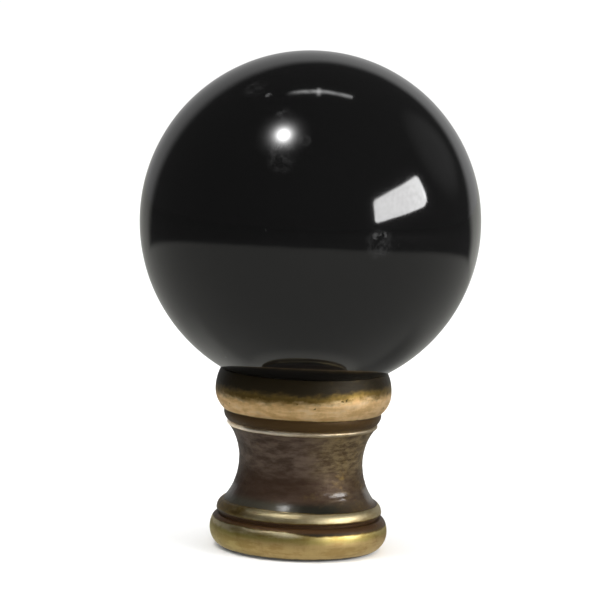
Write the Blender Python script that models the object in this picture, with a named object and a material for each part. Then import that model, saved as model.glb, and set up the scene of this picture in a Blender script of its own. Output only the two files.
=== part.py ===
"""Lamp shade finial: a black glass ball seated on a turned, antiqued brass base.

Metres, +Z up. The origin is the centre of the flat underside, and +Z is the turning axis.
Outline points are (radius, height) pairs.
"""

import math

import bmesh
import bpy

MM = 0.001

# The ball
BALL_DIAMETER = 30.0 * MM
SEAT_CLEARANCE = 0.25 * MM

# Heights of the mouldings, stacked from the underside up
FOOT_HEIGHT = 2.95 * MM
GROOVE_HEIGHT = 0.20 * MM
STEP_HEIGHT = 1.05 * MM
SCOTIA_HEIGHT = 6.75 * MM
COLLAR_HEIGHT = 0.25 * MM
COVE_HEIGHT = 1.05 * MM
BEAD_HEIGHT = 3.39 * MM

# Where each moulding stands upright, above its own lower edge
FOOT_WIDEST_AT = 1.65 * MM
STEP_WIDEST_AT = 0.23 * MM
NECK_AT = 3.60 * MM
COVE_WIDEST_AT = 0.85 * MM
BEAD_WIDEST_AT = 1.80 * MM

# Widths of the mouldings
FOOT_DIAMETER = 15.76 * MM
NECK_DIAMETER = 11.0 * MM
BEAD_DIAMETER = 15.6 * MM

# How far each edge stands in from the moulding that it belongs to
FOOT_SOLE_INSET = 1.53 * MM
FOOT_TOP_INSET = 0.68 * MM
GROOVE_DEPTH = 0.83 * MM
STEP_INSET = 0.55 * MM
STEP_TOP_INSET = 0.43 * MM
FLARE_INSET = 0.13 * MM
RIM_INSET = 0.45 * MM
LIP_INSET = 0.85 * MM
COVE_INSET = 0.82 * MM
COVE_DEPTH = 0.44 * MM
COLLAR_PROJECTION = 0.11 * MM

# The tapped hole for a harp's 1/4-27 stud, cut here to the stud's outside diameter
STUD_DIAMETER = 6.35 * MM
STUD_CLEARANCE = 0.05 * MM
BORE_DEPTH = 9.0 * MM
DRILL_POINT_ANGLE = math.radians(118)
MOUTH_CHAMFER = 0.35 * MM

# How finely the round forms are cut
TURNS = 48
BALL_RINGS = 24
SHARP_ANGLE = math.radians(32)
WELD = 0.0001 * MM

BLACK_GLASS = ((0.006, 0.006, 0.007, 1.0), 0.04, 0.0)
ANTIQUE_BRASS = ((0.36, 0.24, 0.11, 1.0), 0.32, 1.0)


def curve(upright, end, parts, turn=None):
    """The outline from `upright`, where it runs along the axis, to `end`.

    It is an arc of a circle, or with `turn` given, that much of an ellipse.
    """
    across = end[0] - upright[0]
    along = end[1] - upright[1]
    if turn is None:
        turn = max(2 * math.atan2(abs(across), abs(along)), math.radians(0.1))
    points = []
    for part in range(parts + 1):
        angle = turn * part / parts
        radius = upright[0] + across * (1 - math.cos(angle)) / (1 - math.cos(turn))
        height = upright[1] + along * math.sin(angle) / math.sin(turn)
        points.append((radius, height))
    return points


def moulding(lower, widest, upper, lower_parts, upper_parts, lower_turn=None, upper_turn=None):
    """A bead or a hollow from its lower edge, over the point where it stands upright, to its upper edge."""
    below = curve(widest, lower, lower_parts, lower_turn)
    above = curve(widest, upper, upper_parts, upper_turn)
    return below[::-1] + above[1:]


def foot():
    radius = FOOT_DIAMETER / 2
    quarter = math.radians(90)
    sole = (radius - FOOT_SOLE_INSET, 0)
    widest = (radius, FOOT_WIDEST_AT)
    top = (radius - FOOT_TOP_INSET, FOOT_HEIGHT)
    return moulding(sole, widest, top, 6, 6, quarter, quarter)


def step(low):
    """The groove over the foot and the narrow raised band on it."""
    groove_radius = FOOT_DIAMETER / 2 - GROOVE_DEPTH
    radius = FOOT_DIAMETER / 2 - STEP_INSET
    band_low = low + GROOVE_HEIGHT
    lower = (groove_radius, band_low)
    widest = (radius, band_low + STEP_WIDEST_AT)
    upper = (radius - STEP_TOP_INSET, band_low + STEP_HEIGHT)
    return [(groove_radius, low)] + moulding(lower, widest, upper, 3, 4, math.radians(90))


def scotia(low, top_radius):
    """The deep hollow of the neck."""
    flare_radius = FOOT_DIAMETER / 2 - STEP_INSET - STEP_TOP_INSET - FLARE_INSET
    lower = (flare_radius, low)
    neck = (NECK_DIAMETER / 2, low + NECK_AT)
    upper = (top_radius, low + SCOTIA_HEIGHT)
    return moulding(lower, neck, upper, 8, 8)


def collar(low, root_radius):
    """The thin arris that closes the neck."""
    widest = (root_radius + COLLAR_PROJECTION, low + COLLAR_HEIGHT / 2)
    lower = (root_radius, low)
    upper = (root_radius, low + COLLAR_HEIGHT)
    return moulding(lower, widest, upper, 2, 2, math.radians(90), math.radians(90))[1:]


def cove(low, root_radius):
    """The dark moulding that steps out under the top bead."""
    radius = BEAD_DIAMETER / 2 - COVE_INSET
    widest = (radius, low + COVE_WIDEST_AT)
    return curve(widest, (root_radius, low), 5)[::-1][1:]


def bead(low):
    radius = BEAD_DIAMETER / 2
    lip = (radius - LIP_INSET, low)
    widest = (radius, low + BEAD_WIDEST_AT)
    rim = (radius - RIM_INSET, low + BEAD_HEIGHT)
    return moulding(lip, widest, rim, 6, 6)


def seat(rim, centre_height):
    """The hollow that the ball sits in, from its rim to the axis."""
    radius = seat_radius()
    parts = 7
    rim_angle = math.asin(rim[0] / radius)
    points = []
    for part in range(1, parts + 1):
        angle = rim_angle * (1 - part / parts)
        points.append((radius * math.sin(angle), centre_height - radius * math.cos(angle)))
    return points


def bore():
    """The blind hole from its point on the axis down to its chamfered mouth."""
    radius = STUD_DIAMETER / 2 + STUD_CLEARANCE
    point = BORE_DEPTH + radius / math.tan(DRILL_POINT_ANGLE / 2)
    return [(0, point), (radius, BORE_DEPTH), (radius, MOUTH_CHAMFER), (radius + MOUTH_CHAMFER, 0)]


def seat_radius():
    return BALL_DIAMETER / 2 + SEAT_CLEARANCE


def rim_edge():
    """The top edge of the base, which the ball's height follows."""
    height = sum((FOOT_HEIGHT, GROOVE_HEIGHT, STEP_HEIGHT, SCOTIA_HEIGHT, COLLAR_HEIGHT, COVE_HEIGHT, BEAD_HEIGHT))
    return BEAD_DIAMETER / 2 - RIM_INSET, height


def ball_centre_height():
    radius, height = rim_edge()
    return height + math.sqrt(seat_radius() ** 2 - radius**2)


def base_outline():
    """The whole half section of the base, from the bore's point round to the middle of the seat."""
    scotia_low = FOOT_HEIGHT + GROOVE_HEIGHT + STEP_HEIGHT
    collar_low = scotia_low + SCOTIA_HEIGHT
    cove_low = collar_low + COLLAR_HEIGHT
    bead_low = cove_low + COVE_HEIGHT
    neck_top_radius = BEAD_DIAMETER / 2 - COVE_INSET - COVE_DEPTH
    outline = bore() + foot()
    outline += step(FOOT_HEIGHT)
    outline += scotia(scotia_low, neck_top_radius)
    outline += collar(collar_low, neck_top_radius)
    outline += cove(cove_low, neck_top_radius)
    outline += bead(bead_low)
    outline += seat(rim_edge(), ball_centre_height())
    return outline


def material(name, looks):
    colour, roughness, metallic = looks
    made = bpy.data.materials.new(name)
    made.use_nodes = True
    shader = made.node_tree.nodes["Principled BSDF"]
    shader.inputs["Base Color"].default_value = colour
    shader.inputs["Roughness"].default_value = roughness
    shader.inputs["Metallic"].default_value = metallic
    made.diffuse_color = colour
    return made


def add_object(name, shape, looks, height=0.0):
    mesh = bpy.data.meshes.new(name)
    bmesh.ops.recalc_face_normals(shape, faces=shape.faces)
    shape.to_mesh(mesh)
    shape.free()
    mesh.shade_smooth()
    mesh.set_sharp_from_angle(angle=SHARP_ANGLE)
    mesh.materials.append(looks)
    made = bpy.data.objects.new(name, mesh)
    made.location.z = height
    bpy.context.scene.collection.objects.link(made)


def add_base(looks):
    shape = bmesh.new()
    points = [shape.verts.new((radius, 0, height)) for radius, height in base_outline()]
    edges = [shape.edges.new(pair) for pair in zip(points, points[1:])]
    bmesh.ops.spin(
        shape,
        geom=points + edges,
        axis=(0, 0, 1),
        cent=(0, 0, 0),
        steps=TURNS,
        angle=math.tau,
        use_merge=True,
    )
    bmesh.ops.remove_doubles(shape, verts=shape.verts, dist=WELD)
    add_object("base", shape, looks)


def add_ball(looks):
    shape = bmesh.new()
    bmesh.ops.create_uvsphere(shape, u_segments=TURNS, v_segments=BALL_RINGS, radius=BALL_DIAMETER / 2)
    add_object("ball", shape, looks, ball_centre_height())


def clear_scene():
    for old in list(bpy.data.objects):
        bpy.data.objects.remove(old, do_unlink=True)


def main():
    clear_scene()
    add_base(material("antique_brass", ANTIQUE_BRASS))
    add_ball(material("black_glass", BLACK_GLASS))


main()
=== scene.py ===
"""Looks of the lamp shade finial: a polished black glass ball on a turned base of antiqued brass.

Metres, +Z up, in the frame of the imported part. Outline points are (radius, height) pairs. A point's side is
-1 at -X, the camera's left, and 1 at +X, where hands have worn the finish more. A pair of sides, heights or
values of a pattern gives where a change starts and where it is complete.
"""

import math

import bmesh
import bpy
from mathutils import Matrix, Vector, noise


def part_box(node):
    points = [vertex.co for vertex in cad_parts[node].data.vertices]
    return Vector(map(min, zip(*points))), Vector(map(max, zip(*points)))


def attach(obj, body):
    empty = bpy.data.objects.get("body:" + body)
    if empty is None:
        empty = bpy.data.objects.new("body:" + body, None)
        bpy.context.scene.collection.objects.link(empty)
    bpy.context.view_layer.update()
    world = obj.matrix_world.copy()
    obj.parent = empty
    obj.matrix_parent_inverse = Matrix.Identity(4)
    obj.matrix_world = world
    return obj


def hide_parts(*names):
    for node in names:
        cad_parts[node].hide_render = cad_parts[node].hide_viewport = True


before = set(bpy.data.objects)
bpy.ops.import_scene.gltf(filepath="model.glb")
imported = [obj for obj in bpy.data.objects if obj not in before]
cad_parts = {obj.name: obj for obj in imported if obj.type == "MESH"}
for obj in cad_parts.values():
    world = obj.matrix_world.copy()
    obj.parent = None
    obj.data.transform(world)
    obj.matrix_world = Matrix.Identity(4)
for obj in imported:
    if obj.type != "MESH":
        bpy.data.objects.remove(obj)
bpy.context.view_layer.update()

MM = 0.001
QUARTER = math.radians(90)


def grey(level, blue=1.0):
    """A grey of this level, warmer where blue is less than 1."""
    return (level, level, level * blue, 1)


# Sizes read from the frame
BASE_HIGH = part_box("base")[1]
BALL_LOW, BALL_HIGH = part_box("ball")
BALL_RADIUS = (BALL_HIGH.z - BALL_LOW.z) / 2
BALL_HEIGHT = (BALL_HIGH.z + BALL_LOW.z) / 2
FOOT_RADIUS = BASE_HIGH.x
RIM_HEIGHT = BASE_HIGH.z

# Heights of the base's mouldings, stacked from the underside up
FOOT_TOP = 2.95 * MM
STEP_LOW = FOOT_TOP + 0.20 * MM
STEP_TOP = STEP_LOW + 1.05 * MM
SCOTIA_TOP = STEP_TOP + 6.70 * MM
COLLAR_TOP = SCOTIA_TOP + 0.34 * MM
COVE_TOP = COLLAR_TOP + 1.01 * MM

# Heights where they stand upright
FOOT_WIDEST = 1.65 * MM
STEP_WIDEST = STEP_LOW + 0.23 * MM
NECK = STEP_TOP + 3.60 * MM
COVE_WIDEST = COLLAR_TOP + 0.81 * MM
BEAD_WIDEST = COVE_TOP + 1.80 * MM

# Radii
SOLE_RADIUS = FOOT_RADIUS - 1.53 * MM
FOOT_TOP_RADIUS = FOOT_RADIUS - 0.68 * MM
GROOVE_RADIUS = FOOT_RADIUS - 0.83 * MM
STEP_RADIUS = FOOT_RADIUS - 0.55 * MM
STEP_TOP_RADIUS = STEP_RADIUS - 0.43 * MM
FLARE_RADIUS = STEP_TOP_RADIUS - 0.13 * MM
NECK_RADIUS = 5.5 * MM
BEAD_RADIUS = 7.8 * MM
LIP_RADIUS = BEAD_RADIUS - 0.85 * MM
COVE_RADIUS = BEAD_RADIUS - 0.82 * MM
SCOTIA_TOP_RADIUS = COVE_RADIUS - 0.44 * MM
COLLAR_RADIUS = SCOTIA_TOP_RADIUS + 0.15 * MM
RIM_RADIUS = BEAD_RADIUS - 0.45 * MM

# The visible joint: the rim all but touches the ball, and the seat opens behind it
RIM_GAP = 0.02 * MM
SEAT_GAP = 0.25 * MM

# The tapped hole, a 1/4-27 thread. The flank is in shares of the pitch, from the middle of the crest
THREAD_MAJOR_RADIUS = 6.35 * MM / 2
THREAD_MINOR_RADIUS = 5.56 * MM / 2
THREAD_PITCH = 25.4 * MM / 27
THREAD_FLANK = (0.109375, 0.421875)
THREAD_RUN_OUT = 1.2 * MM
BORE_DEPTH = 9.0 * MM
THREAD_END = BORE_DEPTH - THREAD_RUN_OUT / 2
MOUTH_CHAMFER = 0.35 * MM
MOUTH_RADIUS = THREAD_MAJOR_RADIUS + MOUTH_CHAMFER
DRILL_POINT_ANGLE = math.radians(118)

# How finely the meshes are cut
BASE_TURNS = 256
OUTLINE_STEP = 0.11 * MM
THREAD_STEP = 0.10 * MM
CHAMFER_STEP = 0.22 * MM
FLAT_STEP = 0.44 * MM
FEWEST_STEPS = 4
SEAT_STEPS = 24
SEAT_OPENING_STEPS = 3
BALL_CUTS = 84
SHARP_ANGLE = math.radians(40)
HAIR = 1e-9

# The base's cast surface, rough on the neck and nearly smooth on the beads. A noise has a scale and a weight
CAST_BUMPS = ((2300, 1.0), (1100, 0.6))
CAST_PORES = (5200, 0.25)
CAST_STRETCH = 2.2
CAST_NECK = 0.016 * MM
CAST_BEADS = 0.002 * MM
CAST_WAVES = (320, 0.012 * MM)
CAST_ABOVE_SOLE = (0, 0.5 * MM)
CAST_BELOW_RIM = (BEAD_WIDEST, RIM_HEIGHT - 0.3 * MM)
CAST_NECK_LOW = (STEP_TOP, STEP_TOP + 0.8 * MM)
CAST_NECK_HIGH = (SCOTIA_TOP - 0.7 * MM, SCOTIA_TOP)
EVEN_RELIEF = 0.5

# How far the ball is out of true: the scale and height of each noise, and how far it is sunk into the solid
BALL_WAVES = ((2.3, 0.012 * MM), (7, 0.003 * MM))
BALL_SUNK = 0.012 * MM

# Where the dark finish is rubbed away, and how far, from 0 to 1
FOOT_WORN_LOW = 0.40 * MM
FOOT_WORN_LEFT = 2.50 * MM
FOOT_WORN_RIGHT = 2.20 * MM
FOOT_WORN_SIDES = (-0.20, 0.20)
FOOT_FADE = 0.30 * MM
STEP_WORN_LOW = STEP_LOW + 0.30 * MM
STEP_WORN_LEFT = STEP_TOP + 0.02 * MM
STEP_WORN_RIGHT = STEP_TOP - 0.10 * MM
STEP_WORN_SIDES = (-0.6, 0.5)
STEP_FADE = 0.12 * MM
# The step is less worn toward the far left, so darker there: patina and painted shade
STEP_FAR_LEFT_WEAR_WITH_PAINTED_SHADE = 0.35
STEP_FAR_LEFT_PAINTED_SHADE_SIDES = (-0.85, -0.45)
COLLAR_WORN = 0.9
COLLAR_FADE = 0.08 * MM
BEAD_WORN_FRONT = BEAD_WIDEST + 0.02 * MM
BEAD_WORN_RIGHT = BEAD_WIDEST + 0.40 * MM
BEAD_WORN_SIDES = (0.05, 0.75)
BEAD_WORN_FROM = (COVE_TOP, COVE_TOP + 0.15 * MM)
BEAD_FADE = 0.95 * MM
NECK_WORN = 0.10
NECK_WORN_SIDES = (-0.2, 0.9)
THREAD_WORN = 0.8
SOLE_WORN = 0.45

# The hollows that hold dirt: the groove, and the cove under the bead
GROOVE_DIRT = (FOOT_TOP - 0.30 * MM, STEP_LOW + 0.12 * MM)
GROOVE_DIRT_FADE = 0.15 * MM
COVE_DIRT = (COLLAR_TOP + 0.15 * MM, COVE_TOP)
COVE_DIRT_FADE = 0.12 * MM

# Patterns: how far each is squeezed along X, Y and Z, its scale, its detail and its roughness
BLOTCHES = ((1, 1, 1), 600, 5, 0.60)
STAINS = ((1, 1, 2.6), 620, 5, 0.62)
SPECKS = ((1, 1, 1), 4200, 3, 0.60)
DRAWN_OUT = ((1, 1, 2.8), 1150, 5, 0.68)
STREAKS = ((1, 1, 4), 420, 5, 0.60)
TICKS = ((1, 1, 0.12), 3600, 3, 0.50)
TURNING = ((0.05, 0.05, 1), 9000, 2, 0.50)
PITS = ((1, 1, 1), 1500, 2, 0.50)
SMEARS = ((1, 1, 1.8), 110, 4, 0.60)
DUST = ((1, 1, 1), 1500, 2, 0.40)
CRACKLE = ((1, 1, 1), 1400, 4, 0.70)
SOFTBOX_CLOTH = ((1, 1, 1), 55, 3, 0.60)
TUBE_PATCHES = ((1, 1, 1), 28, 2, 0.50)

# How the patterns break up the wear
BREAKUP_RELIEF = 0.30
BREAKUP_BLOTCHES = 0.60
BREAKUP_SPECKS = 0.15
BREAKUP_MEAN = 0.52
BREAKUP_ON_BEAD = 0.7
PIT_VALUES = (0.66, 0.74)
PIT_DIRT = 0.40

# The dark finish: purplish on the left, brown on the right, with its dirt
STAIN_VALUES = (0.34, 0.68)
PURPLE_DARK = (0.030, 0.018, 0.011, 1)
PURPLE_PALE = (0.078, 0.055, 0.040, 1)
BROWN_DARK = (0.036, 0.021, 0.009, 1)
BROWN_PALE = (0.120, 0.088, 0.043, 1)
BROWN_SIDES = (-0.05, 0.45)
LOW_NECK = (0.028, 0.014, 0.007, 1)
LOW_NECK_HEIGHTS = (NECK + 0.5 * MM, NECK - 1.7 * MM)
LOW_NECK_SHARE = 0.75
FLARE_LEFT = (0.038, 0.034, 0.024, 1)
FLARE_FRONT = (0.012, 0.011, 0.007, 1)
FLARE_RIGHT = (0.046, 0.029, 0.014, 1)
FLARE_FRONT_SIDES = (-0.25, 0.10)
FLARE_RIGHT_SIDES = (0.30, 0.75)
FLARE_HEIGHTS = (STEP_TOP + 1.0 * MM, STEP_TOP + 0.4 * MM)
DIRT_LOW = (0.046, 0.022, 0.008, 1)
DIRT_HIGH = (0.038, 0.020, 0.005, 1)
UNDER_BALL = (0.013, 0.009, 0.003, 1)
UNDER_BALL_HEIGHTS = (BEAD_WIDEST - 0.6 * MM, BEAD_WIDEST + 0.3 * MM)

# The bare brass
FOOT_BRASS = (0.58, 0.42, 0.185, 1)
# The foot's olive-green tint on the left is a painted reflection of something greenish
PAINTED_GREEN_REFLECTION = (0.52, 0.46, 0.16, 1)
PAINTED_GREEN_REFLECTION_SIDES = (-0.3, -0.95)
PAINTED_GREEN_REFLECTION_SHARE = 0.55
FOOT_WAVER = 0.9 * MM
# A darker olive band on the foot's shoulder: an olive tone, darkened further as painted shade
OLIVE_PAINTED_SHADE = (0.40, 0.335, 0.10, 1)
OLIVE_PAINTED_SHADE_HEIGHTS = (FOOT_WIDEST - 0.1 * MM, FOOT_WIDEST + 0.4 * MM)
OLIVE_PAINTED_SHADE_SHARE = 0.75
# A pale line along the top of the foot's shoulder: a painted highlight where the round lamp reflects, weaker
# on the right
PAINTED_HIGHLIGHT_LINE = (0.84, 0.75, 0.49, 1)
PAINTED_HIGHLIGHT_HEIGHTS = (FOOT_WIDEST + 0.40 * MM, FOOT_WIDEST + 0.85 * MM)
PAINTED_HIGHLIGHT_SIDES = (0.25, -0.15)
PAINTED_HIGHLIGHT_SHARE_RIGHT = 0.25
STEP_BRASS = (0.47, 0.40, 0.24, 1)
# The collar's brass: on its left a nearly white painted highlight
COLLAR_BRASS_RIGHT = (0.48, 0.40, 0.28, 1)
COLLAR_PAINTED_HIGHLIGHT_LEFT = (0.98, 0.88, 0.73, 1)
COLLAR_PAINTED_HIGHLIGHT_SIDES = (0.6, -0.25)
# The top bead's brass is a little brighter toward +X, painted light where the softbox falls
BEAD_BRASS_LEFT = (0.97, 0.68, 0.35, 1)
BEAD_BRASS_PAINTED_LIT_RIGHT = (1.0, 0.71, 0.38, 1)
BEAD_PAINTED_LIT_SIDES = (0.05, 0.45)
# Pinkish streaks of painted highlight on the top bead
PAINTED_HIGHLIGHT_STREAKS = (1.0, 0.77, 0.50, 1)
PAINTED_HIGHLIGHT_STREAK_VALUES = (0.50, 0.62)
PAINTED_HIGHLIGHT_STREAK_SHARE = 0.5

# Tarnish on it: the pattern's values over which it comes in, its share and its tint
STREAK_TARNISH = (0.54, 0.40, 0.60, (0.72, 0.64, 0.50, 1))
TICK_TARNISH = (0.58, 0.38, 0.14, (0.70, 0.62, 0.50, 1))
BLOTCH_TARNISH = (0.50, 0.72, 0.50, (0.66, 0.58, 0.50, 1))

# Thin finish lets a brown gold through, in the wear between dark and bare
THIN_BRASS = (0.21, 0.138, 0.038, 1)
THIN_WEAR = (0.0, 0.55)
BARE_WEAR = (0.40, 0.95)

# How metallic it is, and less at the far left of the upper neck and collar, so that the even daylight lights
# it pale there as painted sheen
DARK_METAL = 0.35
METAL_WEAR = (0.0, 0.45)
PAINTED_SHEEN_METAL_DROP = 0.5
PAINTED_SHEEN_SIDES = (-0.58, -0.74)

# Its gloss, and the lacquer that is left low on the neck
DARK_SPECULAR = 0.15
GOLD_ROUGHNESS = 0.44
DARK_ROUGHNESS = 0.40
TICK_ROUGHNESS = 0.08
GLOSSY_HEIGHTS = (BEAD_WIDEST - 1.2 * MM, COVE_TOP)
GLOSSY_WEAR = (0.5, 0.1)
LACQUER = 0.75
LACQUER_ROUGHNESS = 0.06
LACQUER_TOP = (NECK - 1.9 * MM, NECK - 2.25 * MM)
LACQUER_FOOT = (STEP_TOP - 0.1 * MM, STEP_TOP + 0.7 * MM)
LACQUER_VALUES = (0.35, 0.60)
LACQUER_THINNEST = 0.7

# Its grain, deeper in the dark finish than on the bare brass, and the film of lacquer over it
GRAIN_SPECKS = 0.6
GRAIN_TURNING = 0.2
GRAIN_DARK = 1.5
GRAIN_BARE = 0.2
GRAIN_STRENGTH = 0.75
FILM_STRENGTH = 0.60
BUMP_HEIGHT = 0.03 * MM

# The glass, its smears and its dust
GLASS_COLOUR = grey(0.0028)
GLASS_IOR = 1.5
GLASS_ROUGHNESS = 0.06
SMEAR_VALUES = (0.35, 0.75)
SMEAR_ROUGHNESS = 0.03
DUST_COLOUR = (0.022, 0.022, 0.021, 1)
DUST_VALUES = (0.77, 0.81)
DUST_ROUGHNESS = 0.25
CRACKLE_VALUES = (0.38, 0.64)

# Small grey spots on it: azimuth, elevation and spread in degrees on the ball, and grey
GREY_SPOTS = (
    (24.2, 1.2, 1.5, 0.12),
    (21.6, 1.0, 1.4, 0.07),
    (23.2, -1.6, 6.0, 0.014),
    (-24.0, 49.4, 1.5, 0.05),
    (-34.0, 52.2, 5.0, 0.010),
    (-11.3, 28.0, 5.0, 0.024),
    (-11.2, 24.5, 5.5, 0.010),
    (-13.6, 41.6, 3.2, 0.018),
    (-3.4, 31.9, 2.6, 0.016),
)

# The camera, set by the ball's size and place in the photograph
IMAGE_SIDE = 612
BALL_PIXEL = (310.4, 221.5)
BALL_PIXEL_RADIUS = 171.03
CAMERA_DISTANCE = 280 * MM
CAMERA_PITCH = math.radians(5.2)
CAMERA_ROLL = math.radians(2.3)
CAMERA_CLIP = (0.01, 20)
SENSOR = 36.0

# The studio's lights. Directions are seen from the ball: azimuth 0 is the camera's, and grows to the right
LIGHT_DISTANCE = 0.5
SOFTBOX_CORNERS = ((42.5, 17.8), (42.5, 4.0), (84, 10.6), (86.5, 14.5), (84.5, 26.2), (57, 22.2))
SOFTBOX_ROUNDING = 22 * MM
ROUNDING_SEGMENTS = 6
SOFTBOX_VALUES = (0.3, 0.7)
SOFTBOX_RADIANCES = (14.08, 17.28)
LAMP = (-36.8, 60.2)
LAMP_TALL_TOWARD = (0, 5)
LAMP_SIDES = 48
LAMP_GLOW_ANGLE = math.radians(16)
LAMP_TALLNESS = 1.2
LAMP_RADIANCE = 60
LAMP_GLOW = 143
LAMP_GLOW_LEFT = 0.00022

# The overhead tube and its holder lie level over the ball; the rows are how far behind its centre
TUBE_ENDS = (-0.25 * LIGHT_DISTANCE, 0.30 * LIGHT_DISTANCE)
TUBE_ROWS = (0.174 * LIGHT_DISTANCE, 0.210 * LIGHT_DISTANCE)
TUBE_HALF = 0.052 * LIGHT_DISTANCE
TUBE_RADIANCE = 4.8
TUBE_END_FADE = 3 * TUBE_HALF
TUBE_VALUES = (0.3, 0.7)
TUBE_DIMMEST = 0.45
HOLDER_ROWS = (0.095 * LIGHT_DISTANCE, 0.28 * LIGHT_DISTANCE)
HOLDER_WIDTH = 0.050 * LIGHT_DISTANCE
HOLDER_RADIANCE = 3.0
HOLDER_GAP = 1 * MM

# The floor, and the sheet of paper that reflections see on it
FLOOR_RADIUS = 2.5
FLOOR_SIDES = 96
FLOOR_GAP = 0.02 * MM
FLOOR_COLOUR = (0.87, 0.87, 0.865, 1)
FAR_FLOOR_COLOUR = grey(0.030)
PAPER_CENTRE = (-5 * MM, 0, 0)
PAPER_EDGE = (120 * MM, 158 * MM)
PAPER_GREY = 0.12
PAPER_COLOUR = grey(PAPER_GREY, blue=0.95)
PAPER_LIGHT = 0.22
PAPER_LIGHT_COLOUR = (1, 1, 0.93, 1)
FOOT_LIGHT = 0.27
FOOT_LIGHT_EDGE = (8 * MM, 12.5 * MM)

# Behind the foot the floor is lighter on the left and in its shadow on the right
BEHIND_FOOT = (0, 8 * MM)
SHADOW_REACH = (40 * MM, 20 * MM)
SHADOW_SIDES = (-12 * MM, 12 * MM)
SHADOW_LIGHT = (0.7, -0.8)

# The room round it: a pale backdrop, whose edge comes in higher up and to the right, and a lit wall
DAYLIGHT = grey(1.2)
BACKDROP_GREY = 0.45
BACKDROP_SLOPE = 0.22
BACKDROP_EDGE = (math.cos(math.radians(50)), math.cos(math.radians(38)))
BACKDROP_NARROWING = 0.25
BACKDROP_NARROWS_FROM = -0.35
WALL = Vector((0.80, 0.40, 0.46)).normalized()
WALL_EDGE = (0.93, 0.995)
WALL_GREY = 0.195
ROOM_GREY = 0.045


def camera():
    focal_pixels = BALL_PIXEL_RADIUS * math.sqrt(CAMERA_DISTANCE**2 - BALL_RADIUS**2) / BALL_RADIUS
    data = bpy.data.cameras.new("camera")
    data.sensor_width = SENSOR
    data.lens = focal_pixels * SENSOR / IMAGE_SIDE
    data.clip_start, data.clip_end = CAMERA_CLIP
    made = bpy.data.objects.new("camera", data)
    bpy.context.scene.collection.objects.link(made)
    back = Vector((0, -math.cos(CAMERA_PITCH), math.sin(CAMERA_PITCH)))
    place = Vector((0, 0, BALL_HEIGHT)) + back * CAMERA_DISTANCE
    # Level and facing the ball, then rolled, then turned so that the ball's centre falls on its pixel
    facing = (-back).to_track_quat("-Z", "Y").to_matrix().to_4x4()
    right = (BALL_PIXEL[0] - IMAGE_SIDE / 2) / focal_pixels
    above = (IMAGE_SIDE / 2 - BALL_PIXEL[1]) / focal_pixels
    roll = Matrix.Rotation(CAMERA_ROLL, 4, "Z")
    aim = Matrix.Rotation(math.atan(right), 4, "Y") @ Matrix.Rotation(-math.atan(above), 4, "X")
    made.matrix_world = Matrix.Translation(place) @ facing @ roll @ aim
    bpy.context.scene.camera = made


def curve(upright, end, turn=None):
    """The outline from `upright`, where it runs along the axis, to `end`, in steps of about OUTLINE_STEP.

    It is an arc of a circle, or with `turn` given, that much of an ellipse.
    """
    across = end[0] - upright[0]
    along = end[1] - upright[1]
    parts = max(FEWEST_STEPS, math.ceil(math.hypot(across, along) / OUTLINE_STEP))
    turn = turn or 2 * math.atan2(abs(across), abs(along))
    points = []
    for part in range(parts + 1):
        angle = turn * part / parts
        radius = upright[0] + across * (1 - math.cos(angle)) / (1 - math.cos(turn))
        height = upright[1] + along * math.sin(angle) / math.sin(turn)
        points.append((radius, height))
    return points


def moulding(lower, upright, upper, lower_turn=None, upper_turn=None):
    """The outline from `lower` up to `upper`, past the point between them where it stands upright."""
    return curve(upright, lower, lower_turn)[::-1] + curve(upright, upper, upper_turn)[1:]


def straight(start, end, step):
    """The outline from `start` until just before `end`."""
    parts = max(1, math.ceil(math.dist(start, end) / step))
    shares = [part / parts for part in range(parts)]
    return [(blend(start[0], end[0], share), blend(start[1], end[1], share)) for share in shares]


def outside_outline():
    """From the edge of the flat underside up to the lower edge of the top bead."""
    sole = (SOLE_RADIUS, 0)
    foot = (FOOT_RADIUS, FOOT_WIDEST)
    foot_top = (FOOT_TOP_RADIUS, FOOT_TOP)
    step_low = (GROOVE_RADIUS, STEP_LOW)
    step = (STEP_RADIUS, STEP_WIDEST)
    step_top = (STEP_TOP_RADIUS, STEP_TOP)
    flare = (FLARE_RADIUS, STEP_TOP)
    neck = (NECK_RADIUS, NECK)
    scotia_top = (SCOTIA_TOP_RADIUS, SCOTIA_TOP)
    collar = (COLLAR_RADIUS, (SCOTIA_TOP + COLLAR_TOP) / 2)
    collar_top = (SCOTIA_TOP_RADIUS, COLLAR_TOP)
    cove = (COVE_RADIUS, COVE_WIDEST)
    points = moulding(sole, foot, foot_top, QUARTER, QUARTER)
    points.append((GROOVE_RADIUS, FOOT_TOP))
    points += moulding(step_low, step, step_top, QUARTER)
    points += moulding(flare, neck, scotia_top)
    points += moulding(scotia_top, collar, collar_top, QUARTER, QUARTER)[1:]
    points += curve(cove, collar_top)[::-1][1:]
    return points


def bead_and_seat_outline():
    """Over the top bead to its rim, which closes on the ball, and down the seat to the axis."""
    rim_reach = BALL_RADIUS + RIM_GAP
    rim_height = BALL_HEIGHT - math.sqrt(rim_reach**2 - RIM_RADIUS**2)
    points = moulding((LIP_RADIUS, COVE_TOP), (BEAD_RADIUS, BEAD_WIDEST), (RIM_RADIUS, rim_height))
    rim_angle = math.asin(RIM_RADIUS / rim_reach)
    for part in range(1, SEAT_STEPS + 1):
        angle = rim_angle * (1 - part / SEAT_STEPS)
        reach = rim_reach + (SEAT_GAP - RIM_GAP) * min(1, part / SEAT_OPENING_STEPS)
        points.append((reach * math.sin(angle), BALL_HEIGHT - reach * math.cos(angle)))
    return points


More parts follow.
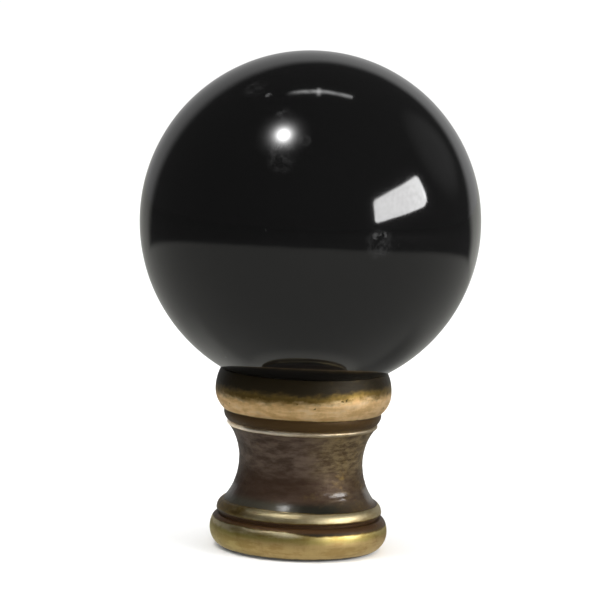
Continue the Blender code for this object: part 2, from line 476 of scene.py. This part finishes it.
def bore_outline():
    """From the drill point on the axis down to the mouth, and out over the flat underside."""
    point = (0, BORE_DEPTH + THREAD_MAJOR_RADIUS / math.tan(DRILL_POINT_ANGLE / 2))
    shoulder = (THREAD_MAJOR_RADIUS, BORE_DEPTH)
    chamfer = (THREAD_MAJOR_RADIUS, MOUTH_CHAMFER)
    mouth = (MOUTH_RADIUS, 0)
    sole = (SOLE_RADIUS, 0)
    points = straight(point, shoulder, FLAT_STEP)
    points += straight(shoulder, chamfer, THREAD_STEP)
    points += straight(chamfer, mouth, CHAMFER_STEP)
    points += straight(mouth, sole, FLAT_STEP)
    return points


def blend(first, second, share):
    return first + (second - first) * share


def ramp(value, low, high):
    """0 below low and 1 above high, with a straight change between them."""
    return min(1, max(0, (value - low) / (high - low)))


def smooth(value, low, high):
    """0 below low and 1 above high, with a change between them that starts and ends gently."""
    share = ramp(value, low, high)
    return share * share * (3 - 2 * share)


def band(height, low, high, soft):
    """1 between the two limits, fading out over `soft` beyond each."""
    return smooth(height, low - soft, low) * (1 - smooth(height, high, high + soft))


def thread_ridge(height, turn):
    """How far the thread stands into the bore at this height and share of a turn."""
    if not 0 < height < THREAD_END:
        return 0
    phase = (height / THREAD_PITCH - turn) % 1
    ridge = 1 - ramp(abs(phase - 0.5), *THREAD_FLANK)
    fade = ramp(THREAD_END - height, 0, THREAD_RUN_OUT)
    return ridge * fade * (THREAD_MAJOR_RADIUS - THREAD_MINOR_RADIUS)


def wear(height, side):
    """How far the dark finish is rubbed back to the brass, from 0 to 1. The hollows keep it."""
    foot_high = blend(FOOT_WORN_LEFT, FOOT_WORN_RIGHT, smooth(side, *FOOT_WORN_SIDES))
    foot = band(height, FOOT_WORN_LOW, foot_high, FOOT_FADE)
    step_high = blend(STEP_WORN_LEFT, STEP_WORN_RIGHT, smooth(side, *STEP_WORN_SIDES))
    step = band(height, STEP_WORN_LOW, step_high, STEP_FADE)
    # Less wear at the far left: patina and painted shade
    step *= blend(STEP_FAR_LEFT_WEAR_WITH_PAINTED_SHADE, 1, smooth(side, *STEP_FAR_LEFT_PAINTED_SHADE_SIDES))
    collar = COLLAR_WORN * band(height, SCOTIA_TOP, COLLAR_TOP, COLLAR_FADE)
    bead_high = blend(BEAD_WORN_FRONT, BEAD_WORN_RIGHT, smooth(side, *BEAD_WORN_SIDES))
    bead = smooth(height, *BEAD_WORN_FROM)
    bead *= 1 - ramp(height, bead_high - BEAD_FADE, bead_high + BEAD_FADE)
    neck = NECK_WORN * smooth(side, *NECK_WORN_SIDES)
    return max(foot, step, collar, bead, neck)


def hollow(height):
    """How deep in a hollow this height is, where dirt keeps the finish darkest."""
    groove = band(height, *GROOVE_DIRT, GROOVE_DIRT_FADE)
    cove = band(height, *COVE_DIRT, COVE_DIRT_FADE)
    return max(groove, cove)


def on_neck(height):
    return smooth(height, *CAST_NECK_LOW) * (1 - smooth(height, *CAST_NECK_HIGH))


def weighted_noise(place, scale, weight):
    return weight * noise.noise(place * scale)


def casting(place):
    """The rough cast surface, about -1 to 1: pits and bumps that the turning drew out round the neck."""
    drawn_out = Vector((place.x, place.y, place.z * CAST_STRETCH))
    bumps = sum(weighted_noise(drawn_out, *bump) for bump in CAST_BUMPS)
    return bumps + weighted_noise(place, *CAST_PORES)


def base_surface(radius, height, turn):
    """Where the base's surface lies at this point of its outline, and its wear, relief and hollow."""
    angle = math.tau * turn
    outward = Vector((math.cos(angle), math.sin(angle), 0))
    place = outward * radius + Vector((0, 0, height))
    in_bore = radius < MOUTH_RADIUS + HAIR and height < (RIM_HEIGHT + BORE_DEPTH) / 2
    in_seat = radius < RIM_RADIUS - HAIR and height > BEAD_WIDEST
    if in_bore:
        return place - outward * min(radius, thread_ridge(height, turn)), THREAD_WORN, EVEN_RELIEF, 0
    if in_seat:
        return place, 0, EVEN_RELIEF, 0
    if height <= 0:
        return place, SOLE_WORN, EVEN_RELIEF, 0
    # Casting only ever takes away from the outline
    relief = casting(place)
    roughness = blend(CAST_BEADS, CAST_NECK, on_neck(height))
    wave_height = CAST_WAVES[1]
    raised = roughness * (relief - 1) + weighted_noise(place, *CAST_WAVES) - wave_height
    raised *= smooth(height, *CAST_ABOVE_SOLE) * (1 - smooth(height, *CAST_BELOW_RIM))
    painted_relief = EVEN_RELIEF * (1 + relief)
    return place + outward * min(0, raised), wear(height, outward.x), painted_relief, hollow(height)


def turned(name, outline, surface):
    """A mesh turned from an outline that starts and ends on the axis. surface() places and paints a point."""
    mesh = bmesh.new()
    layers = [mesh.verts.layers.float.new(layer) for layer in ("wear", "relief", "hollow")]

    def point(radius, height, turn):
        place, *painted = surface(radius, height, turn)
        made = mesh.verts.new(place)
        for layer, value in zip(layers, painted):
            made[layer] = value
        return made

    rings = [[point(*outline[0], 0)] * BASE_TURNS]
    rings += [[point(*spot, turn / BASE_TURNS) for turn in range(BASE_TURNS)] for spot in outline[1:-1]]
    rings += [[point(*outline[-1], 0)] * BASE_TURNS]
    for lower, upper in zip(rings, rings[1:]):
        for turn in range(BASE_TURNS):
            following = (turn + 1) % BASE_TURNS
            corners = (lower[turn], lower[following], upper[following], upper[turn])
            # At the axis two corners are one point, and the face is a triangle
            mesh.faces.new(dict.fromkeys(corners))
    bmesh.ops.recalc_face_normals(mesh, faces=mesh.faces)
    return finished(name, mesh)


def finished(name, mesh):
    data = bpy.data.meshes.new(name)
    mesh.to_mesh(data)
    mesh.free()
    data.shade_smooth()
    data.set_sharp_from_angle(angle=SHARP_ANGLE)
    made = bpy.data.objects.new(name, data)
    bpy.context.scene.collection.objects.link(made)
    return made


def base():
    outline = bore_outline() + outside_outline() + bead_and_seat_outline()
    made = turned("turned_base", outline, base_surface)
    made.data.materials.append(antique_brass())
    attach(made, "root")
    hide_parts("base")


def ball():
    """A pressed glass ball: a sphere whose polish leaves it about a hundredth of a millimetre out of true."""
    mesh = bmesh.new()
    bmesh.ops.create_cube(mesh, size=2)
    bmesh.ops.subdivide_edges(mesh, edges=mesh.edges, cuts=BALL_CUTS, use_grid_fill=True)
    for point in mesh.verts:
        # Tangent spacing evens out the squares of the cube's faces
        even = Vector([math.tan(part * math.pi / 4) for part in point.co])
        direction = even.normalized()
        out_of_true = sum(weighted_noise(direction, *wave) for wave in BALL_WAVES)
        point.co = direction * (BALL_RADIUS + out_of_true - BALL_SUNK)
        point.co.z += BALL_HEIGHT
    made = finished("glass_ball", mesh)
    made.data.materials.append(black_glass())
    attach(made, "root")
    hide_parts("ball")


class Graph:
    """A material's or the world's node tree, with short ways to add and join nodes."""

    def __init__(self, owner):
        owner.use_nodes = True
        self.owner = owner
        self.tree = owner.node_tree
        self.tree.nodes.clear()

    def add(self, kind, inputs=None, **settings):
        node = self.tree.nodes.new(kind)
        for name, value in settings.items():
            setattr(node, name, value)
        for name, value in (inputs or {}).items():
            self.feed(node.inputs[name], value)
        return node

    def feed(self, socket, value):
        if isinstance(value, bpy.types.NodeSocket):
            self.tree.links.new(value, socket)
        else:
            socket.default_value = value

    def place(self):
        return self.add("ShaderNodeTexCoord").outputs["Object"]

    def in_gloss(self):
        """1 where a reflection looks, and otherwise 0."""
        return self.add("ShaderNodeLightPath").outputs["Is Glossy Ray"]

    def painted(self, name):
        """A number that the mesh carries at each point."""
        return self.add("ShaderNodeAttribute", attribute_name=name).outputs["Fac"]

    def noise(self, vector, squeeze, scale, detail, roughness):
        squeezed = self.add("ShaderNodeMapping", {"Vector": vector, "Scale": squeeze}).outputs["Vector"]
        inputs = {"Vector": squeezed, "Scale": scale, "Detail": detail, "Roughness": roughness}
        return self.add("ShaderNodeTexNoise", inputs).outputs["Fac"]

    def bump(self, height, strength):
        inputs = {"Height": height, "Strength": strength, "Distance": BUMP_HEIGHT}
        return self.add("ShaderNodeBump", inputs).outputs["Normal"]

    def parts(self, vector):
        """Its X, Y and Z, by name."""
        return self.add("ShaderNodeSeparateXYZ", {"Vector": vector}).outputs

    def subtracted(self, vector, other):
        return self.add("ShaderNodeVectorMath", {0: vector, 1: other}, operation="SUBTRACT").outputs["Vector"]

    def unit(self, vector):
        return self.add("ShaderNodeVectorMath", {0: vector}, operation="NORMALIZE").outputs["Vector"]

    def length(self, vector):
        return self.add("ShaderNodeVectorMath", {0: vector}, operation="LENGTH").outputs["Value"]

    def closeness(self, direction, other):
        """The cosine of the angle between two directions."""
        inputs = {0: direction, 1: other}
        return self.add("ShaderNodeVectorMath", inputs, operation="DOT_PRODUCT").outputs["Value"]

    def maths(self, operation, *values):
        node = self.add("ShaderNodeMath", operation=operation)
        for socket, value in zip(node.inputs, values):
            self.feed(socket, value)
        return node.outputs[0]

    def product(self, first, *others):
        for other in others:
            first = self.maths("MULTIPLY", first, other)
        return first

    def between(self, value, low, high, to_low=0.0, to_high=1.0):
        """Value moved from low..high to to_low..to_high, smoothly and clamped."""
        limits = {"Value": value, "From Min": low, "From Max": high, "To Min": to_low, "To Max": to_high}
        return self.add("ShaderNodeMapRange", limits, interpolation_type="SMOOTHSTEP").outputs["Result"]

    def strip(self, across, middle, half):
        """1 along the middle of a strip, fading to 0 at its edges."""
        off_middle = self.maths("ABSOLUTE", self.maths("SUBTRACT", across, middle))
        return self.between(off_middle, 0, half, 1, 0)

    def mixed(self, share, first, second, blend_type="MIX"):
        """Two colours mixed. Their sockets go by number, because other kinds of value have the same names."""
        inputs = {0: share, 6: first, 7: second}
        return self.add("ShaderNodeMix", inputs, data_type="RGBA", blend_type=blend_type).outputs[2]

    def added(self, first, second):
        """A shader that gives the light of both."""
        return self.add("ShaderNodeAddShader", {0: first.outputs[0], 1: second.outputs[0]})

    def finish_with(self, shader, output="ShaderNodeOutputMaterial"):
        self.add(output, {"Surface": shader.outputs[0]})


class AntiqueBrass(Graph):
    """The base's finish: a dark coat, rubbed through to the brass where the mesh says that it is worn."""

    def __init__(self, material):
        super().__init__(material)
        place = self.place()
        parts = self.parts(place)
        self.side = self.maths("DIVIDE", parts["X"], FOOT_RADIUS)
        self.height = parts["Z"]
        self.blotches = self.noise(place, *BLOTCHES)
        self.stains = self.noise(place, *STAINS)
        self.specks = self.noise(place, *SPECKS)
        self.drawn_out = self.noise(place, *DRAWN_OUT)
        self.streaks = self.noise(place, *STREAKS)
        self.ticks = self.noise(place, *TICKS)
        self.turning = self.noise(place, *TURNING)
        self.pits = self.noise(place, *PITS)
        self.on_bead = self.between(self.height, COLLAR_TOP, COVE_TOP)
        self.worn = self.wear()
        self.glossy = self.product(
            self.between(self.height, *GLOSSY_HEIGHTS),
            self.between(self.worn, *GLOSSY_WEAR),
        )

    def wear(self):
        """The wear that the mesh carries, broken up where pits keep their dirt."""
        breakup = self.maths("MULTIPLY", self.blotches, BREAKUP_BLOTCHES)
        breakup = self.maths("MULTIPLY_ADD", self.painted("relief"), BREAKUP_RELIEF, breakup)
        breakup = self.maths("MULTIPLY_ADD", self.specks, BREAKUP_SPECKS, breakup)
        breakup = self.maths("SUBTRACT", breakup, BREAKUP_MEAN)
        breakup = self.product(breakup, self.between(self.height, COLLAR_TOP, COVE_TOP, 1, BREAKUP_ON_BEAD))
        pits = self.product(self.between(self.pits, *PIT_VALUES), self.on_bead)
        worn = self.maths("ADD", self.painted("wear"), breakup)
        worn = self.maths("MULTIPLY_ADD", pits, -PIT_DIRT, worn)
        return self.between(worn, 0, 1)

    def dark_finish(self):
        """Purplish, thinner and browner toward +X, darker low down, and nearly black under the ball."""
        side, height = self.side, self.height
        purple = self.mixed(self.between(self.stains, *STAIN_VALUES), PURPLE_DARK, PURPLE_PALE)
        brown = self.mixed(self.between(self.drawn_out, *STAIN_VALUES), BROWN_DARK, BROWN_PALE)
        dark = self.mixed(self.between(side, *BROWN_SIDES), purple, brown)
        dark = self.mixed(self.between(height, *LOW_NECK_HEIGHTS, 0, LOW_NECK_SHARE), dark, LOW_NECK)
        flare = self.mixed(self.between(side, *FLARE_FRONT_SIDES), FLARE_LEFT, FLARE_FRONT)
        flare = self.mixed(self.between(side, *FLARE_RIGHT_SIDES), flare, FLARE_RIGHT)
        dark = self.mixed(self.between(height, *FLARE_HEIGHTS), dark, flare)
        dirt = self.mixed(self.between(height, STEP_TOP, SCOTIA_TOP), DIRT_LOW, DIRT_HIGH)
        dark = self.mixed(self.painted("hollow"), dark, dirt)
        return self.mixed(self.between(height, *UNDER_BALL_HEIGHTS), dark, UNDER_BALL)

    def foot_brass(self):
        """Olive-green on the left as a painted reflection; an olive shoulder with painted shade under a
        painted highlight line, wavering with the streaks.
        """
        # Olive-green on the left: a painted reflection
        gold = self.mixed(self.between(self.side, *PAINTED_GREEN_REFLECTION_SIDES, 0, PAINTED_GREEN_REFLECTION_SHARE), FOOT_BRASS, PAINTED_GREEN_REFLECTION)
        level = self.maths("SUBTRACT", self.height, FOOT_WAVER / 2)
        level = self.maths("MULTIPLY_ADD", self.streaks, FOOT_WAVER, level)
        # The olive band is an olive tone with painted shade
        gold = self.mixed(self.between(level, *OLIVE_PAINTED_SHADE_HEIGHTS, 0, OLIVE_PAINTED_SHADE_SHARE), gold, OLIVE_PAINTED_SHADE)
        # pale is the painted highlight line on the shoulder, where the round lamp reflects
        pale = self.between(level, *PAINTED_HIGHLIGHT_HEIGHTS)
        pale = self.product(pale, self.between(self.side, *PAINTED_HIGHLIGHT_SIDES, PAINTED_HIGHLIGHT_SHARE_RIGHT, 1))
        return self.mixed(pale, gold, PAINTED_HIGHLIGHT_LINE)

    def bare_brass(self):
        """Each moulding's brass over the one below: paler on the collar, its left a painted highlight, and
        pinker on the top bead, with painted highlight streaks and painted light toward +X.
        """
        gold = self.mixed(self.between(self.height, FOOT_TOP, STEP_LOW), self.foot_brass(), STEP_BRASS)
        # The collar's left is a nearly white painted highlight
        collar = self.mixed(self.between(self.side, *COLLAR_PAINTED_HIGHLIGHT_SIDES), COLLAR_BRASS_RIGHT, COLLAR_PAINTED_HIGHLIGHT_LEFT)
        gold = self.mixed(self.between(self.height, STEP_TOP, SCOTIA_TOP), gold, collar)
        # A little brighter toward +X as painted light from the softbox
        bead = self.mixed(self.between(self.side, *BEAD_PAINTED_LIT_SIDES), BEAD_BRASS_LEFT, BEAD_BRASS_PAINTED_LIT_RIGHT)
        gold = self.mixed(self.on_bead, gold, bead)
        # rubbed is the share of painted pinkish highlight streaks, not wear
        rubbed = self.product(self.between(self.streaks, *PAINTED_HIGHLIGHT_STREAK_VALUES, 0, PAINTED_HIGHLIGHT_STREAK_SHARE), self.on_bead)
        gold = self.mixed(rubbed, gold, PAINTED_HIGHLIGHT_STREAKS)
        gold = self.tarnished(gold, self.streaks, *STREAK_TARNISH)
        gold = self.tarnished(gold, self.ticks, *TICK_TARNISH)
        return self.tarnished(gold, self.blotches, *BLOTCH_TARNISH)

    def tarnished(self, gold, pattern, low, high, share, tint):
        return self.mixed(self.between(pattern, low, high, 0, share), gold, tint, "MULTIPLY")

    def colour(self):
        thin = self.mixed(self.between(self.worn, *THIN_WEAR), self.dark_finish(), THIN_BRASS)
        return self.mixed(self.between(self.worn, *BARE_WEAR), thin, self.bare_brass())

    def metal(self):
        # Less metal on the far left of the upper neck and collar, so the even daylight lights it pale as
        # painted sheen
        painted_sheen_metal_drop = self.product(
            self.between(self.side, *PAINTED_SHEEN_SIDES, 0, PAINTED_SHEEN_METAL_DROP),
            self.between(self.height, NECK, SCOTIA_TOP),
            self.between(self.height, COVE_TOP, COLLAR_TOP),
        )
        return self.maths("SUBTRACT", self.between(self.worn, *METAL_WEAR, DARK_METAL, 1), painted_sheen_metal_drop)

    def roughness(self):
        rough = self.maths("MULTIPLY_ADD", self.glossy, DARK_ROUGHNESS - GOLD_ROUGHNESS, GOLD_ROUGHNESS)
        return self.maths("MULTIPLY_ADD", self.ticks, TICK_ROUGHNESS, rough)

    def lacquer(self):
        return self.product(
            self.glossy,
            self.between(self.height, *LACQUER_TOP),
            self.between(self.height, *LACQUER_FOOT),
            self.between(self.drawn_out, *LACQUER_VALUES, LACQUER_THINNEST, 1),
            LACQUER,
        )

    def grain(self):
        depth = self.maths("MULTIPLY_ADD", self.worn, GRAIN_BARE - GRAIN_DARK, GRAIN_DARK)
        grain = self.maths("MULTIPLY", self.turning, GRAIN_TURNING)
        grain = self.maths("MULTIPLY_ADD", self.specks, GRAIN_SPECKS, grain)
        return self.maths("MULTIPLY_ADD", self.drawn_out, depth, grain)


def antique_brass():
    material = bpy.data.materials.new("antique_brass_finish")
    finish = AntiqueBrass(material)
    inputs = {
        "Base Color": finish.colour(),
        "Metallic": finish.metal(),
        "Roughness": finish.roughness(),
        "Normal": finish.bump(finish.grain(), GRAIN_STRENGTH),
        "Specular IOR Level": DARK_SPECULAR,
        "Coat Weight": finish.lacquer(),
        "Coat Roughness": LACQUER_ROUGHNESS,
        "Coat Normal": finish.bump(finish.drawn_out, FILM_STRENGTH),
    }
    finish.finish_with(finish.add("ShaderNodeBsdfPrincipled", inputs))
    return material


def on_ball(azimuth, elevation):
    """A direction from the ball's centre; azimuth 0 is the front and grows toward +X."""
    turn, rise = math.radians(azimuth), math.radians(elevation)
    return Vector((math.sin(turn) * math.cos(rise), -math.cos(turn) * math.cos(rise), math.sin(rise)))


def black_glass():
    """Black glass, polished, with faint smears, a little dust and a few small grey spots."""
    material = bpy.data.materials.new("black_glass_finish")
    graph = Graph(material)
    place = graph.place()
    direction = graph.unit(graph.subtracted(place, (0, 0, BALL_HEIGHT)))
    smears = graph.between(graph.noise(place, *SMEARS), *SMEAR_VALUES)
    dust = graph.between(graph.noise(place, *DUST), *DUST_VALUES)
    crackle = graph.between(graph.noise(place, *CRACKLE), *CRACKLE_VALUES)

    colour = graph.mixed(dust, GLASS_COLOUR, DUST_COLOUR)
    for azimuth, elevation, spread, level in GREY_SPOTS:
        closeness = graph.closeness(direction, on_ball(azimuth, elevation))
        grey_spot = graph.between(closeness, math.cos(math.radians(spread)), 1)
        colour = graph.mixed(graph.product(grey_spot, crackle), colour, grey(level))
    rough = graph.maths("MULTIPLY_ADD", smears, SMEAR_ROUGHNESS, GLASS_ROUGHNESS)
    rough = graph.maths("MULTIPLY_ADD", dust, DUST_ROUGHNESS, rough)
    inputs = {"Base Color": colour, "Metallic": 0.0, "Roughness": rough, "IOR": GLASS_IOR}
    graph.finish_with(graph.add("ShaderNodeBsdfPrincipled", inputs))
    return material


def toward(azimuth, elevation):
    return Vector((0, 0, BALL_HEIGHT)) + on_ball(azimuth, elevation) * LIGHT_DISTANCE


def glow(name):
    return Graph(bpy.data.materials.new(name + "_glow"))


def lamp_face(name, corners, graph, strength, rounding=0):
    """A glowing flat shape with these corners, which only the reflections and the floor see.

    Its light adds to what is behind it.
    """
    light = graph.add("ShaderNodeEmission", {"Strength": strength})
    graph.finish_with(graph.added(light, graph.add("ShaderNodeBsdfTransparent")))
    mesh = bmesh.new()
    mesh.faces.new([mesh.verts.new(corner) for corner in corners])
    if rounding:
        bmesh.ops.bevel(
            mesh, geom=mesh.verts, offset=rounding, segments=ROUNDING_SEGMENTS, profile=0.5, affect="VERTICES"
        )
    made = finished(name, mesh)
    made.data.materials.append(graph.owner)
    made.visible_camera = False
    return made


def softbox():
    """A wide softbox on the right, with one corner cut off from view, flattened into a plane."""
    corners = [toward(*corner) for corner in SOFTBOX_CORNERS]
    middle = sum(corners, Vector()) / len(corners)
    eye = Vector((0, 0, BALL_HEIGHT))
    facing = (middle - eye).normalized()
    depth = (middle - eye).dot(facing)
    flat = [eye + (corner - eye) * (depth / (corner - eye).dot(facing)) for corner in corners]
    graph = glow("softbox")
    cloth = graph.noise(graph.place(), *SOFTBOX_CLOTH)
    strength = graph.between(cloth, *SOFTBOX_VALUES, *SOFTBOX_RADIANCES)
    lamp_face("softbox", flat, graph, strength, SOFTBOX_ROUNDING)


def round_lamp():
    """A round lamp on the left, a little taller than wide, with a soft glow round it."""
    away = on_ball(*LAMP)
    across = away.cross(on_ball(*LAMP_TALL_TOWARD)).normalized()
    along = away.cross(across)
    graph = glow("round_lamp")
    # Even in the middle, and from there the glow dies away to what is left at the rim
    fading = graph.maths("POWER", LAMP_GLOW_LEFT, graph.length(graph.place()))
    strength = graph.maths("MINIMUM", graph.product(fading, LAMP_GLOW), LAMP_RADIANCE)
    turns = [math.tau * part / LAMP_SIDES for part in range(LAMP_SIDES)]
    made = lamp_face("round_lamp", [(math.cos(turn), math.sin(turn), 0) for turn in turns], graph, strength)
    radius = LIGHT_DISTANCE * math.tan(LAMP_GLOW_ANGLE)
    size = Matrix.Diagonal((radius, radius * LAMP_TALLNESS, 1, 1))
    turned_to_ball = Matrix((across, along, away)).transposed().to_4x4()
    made.matrix_world = Matrix.Translation(toward(*LAMP)) @ turned_to_ball @ size


def overhead_tube():
    """A thin tube over and just behind the ball, soft at the edges, with brighter and dimmer patches."""
    height = BALL_HEIGHT + LIGHT_DISTANCE
    left, right = TUBE_ENDS
    left_row, right_row = TUBE_ROWS
    slope = (right_row - left_row) / (right - left)
    near = [(left, left_row - TUBE_HALF, height), (right, right_row - TUBE_HALF, height)]
    far = [(right, right_row + TUBE_HALF, height), (left, left_row + TUBE_HALF, height)]
    graph = glow("overhead_tube")
    place = graph.place()
    parts = graph.parts(place)
    middle = graph.maths("MULTIPLY_ADD", parts["X"], slope, left_row - slope * left)
    strength = graph.product(
        graph.strip(parts["Y"], middle, TUBE_HALF),
        graph.between(parts["X"], left, left + TUBE_END_FADE),
        graph.between(graph.noise(place, *TUBE_PATCHES), *TUBE_VALUES, TUBE_DIMMEST, 1),
        TUBE_RADIANCE,
    )
    lamp_face("overhead_tube", near + far, graph, strength)


def tube_holder():
    """A card that holds the tube, lying across it, soft at the edges."""
    height = BALL_HEIGHT + LIGHT_DISTANCE + HOLDER_GAP
    near, far = HOLDER_ROWS
    corners = [(0, near, height), (HOLDER_WIDTH, near, height), (HOLDER_WIDTH, far, height), (0, far, height)]
    graph = glow("tube_holder")
    parts = graph.parts(graph.place())
    strength = graph.product(
        graph.strip(parts["X"], HOLDER_WIDTH / 2, HOLDER_WIDTH / 2),
        graph.between(parts["Y"], near, near + TUBE_HALF),
        graph.between(parts["Y"], far, far - TUBE_HALF),
        HOLDER_RADIANCE,
    )
    lamp_face("tube_holder", corners, graph, strength)


def paper():
    """A pale floor. Reflections see it greyer, as a sheet that ends round the object and runs back behind it.

    There it also shines a little: most round the foot, and behind as much as the backdrop.
    """
    graph = Graph(bpy.data.materials.new("paper"))
    in_gloss = graph.in_gloss()
    place = graph.place()
    parts = graph.parts(place)
    off_axis = graph.length(place)
    from_centre = graph.subtracted(place, PAPER_CENTRE)
    radius = graph.length(from_centre)
    toward_it = graph.parts(graph.unit(from_centre))
    behind = graph.between(toward_it["Y"], *BACKDROP_EDGE)
    sheet = graph.maths("MAXIMUM", graph.between(radius, *PAPER_EDGE, 1, 0), behind)
    colour = graph.mixed(in_gloss, FLOOR_COLOUR, graph.mixed(sheet, FAR_FLOOR_COLOUR, PAPER_COLOUR))

    near_foot = graph.between(off_axis, *FOOT_LIGHT_EDGE, 1, 0)
    strength = graph.maths("MULTIPLY_ADD", near_foot, FOOT_LIGHT, PAPER_LIGHT)
    shadow = graph.product(
        graph.between(parts["Y"], *BEHIND_FOOT),
        graph.between(off_axis, *SHADOW_REACH),
        graph.between(parts["X"], *SHADOW_SIDES, *SHADOW_LIGHT),
    )
    strength = graph.maths("MULTIPLY_ADD", strength, shadow, strength)
    far_behind = graph.maths("MULTIPLY_ADD", toward_it["X"], BACKDROP_SLOPE, BACKDROP_GREY - PAPER_GREY)
    strength = graph.between(radius, *PAPER_EDGE, strength, far_behind)
    strength = graph.product(strength, sheet, in_gloss)

    lit = graph.add("ShaderNodeEmission", {"Color": PAPER_LIGHT_COLOUR, "Strength": strength})
    graph.finish_with(graph.added(graph.add("ShaderNodeBsdfDiffuse", {"Color": colour}), lit))
    mesh = bmesh.new()
    bmesh.ops.create_circle(mesh, cap_ends=True, segments=FLOOR_SIDES, radius=FLOOR_RADIUS)
    made = finished("floor", mesh)
    made.location.z = -FLOOR_GAP
    made.data.materials.append(graph.owner)


def surroundings():
    """Pale all round for the floor; in reflections a dark room with a pale backdrop and a lit wall."""
    world = bpy.data.worlds.new("studio")
    bpy.context.scene.world = world
    # Without this the metals would also pick up the pale surroundings that only the floor should see
    world.cycles.sampling_method = "NONE"
    graph = Graph(world)
    direction = graph.add("ShaderNodeTexCoord").outputs["Generated"]
    parts = graph.parts(direction)
    narrowing = graph.product(parts["Z"], graph.maths("SUBTRACT", parts["X"], BACKDROP_NARROWS_FROM))
    behind = graph.maths("MULTIPLY_ADD", narrowing, -BACKDROP_NARROWING, parts["Y"])
    backdrop = graph.product(
        graph.between(behind, *BACKDROP_EDGE),
        graph.maths("MULTIPLY_ADD", parts["X"], BACKDROP_SLOPE, BACKDROP_GREY),
    )
    wall = graph.between(graph.closeness(direction, WALL), *WALL_EDGE, ROOM_GREY, WALL_GREY)
    colour = graph.mixed(graph.in_gloss(), DAYLIGHT, graph.maths("ADD", backdrop, wall))
    light = graph.add("ShaderNodeBackground", {"Color": colour, "Strength": 1.0})
    graph.finish_with(light, "ShaderNodeOutputWorld")


bpy.context.scene.view_settings.view_transform = "Standard"
camera()
base()
ball()
paper()
softbox()
round_lamp()
overhead_tube()
tube_holder()
surroundings()
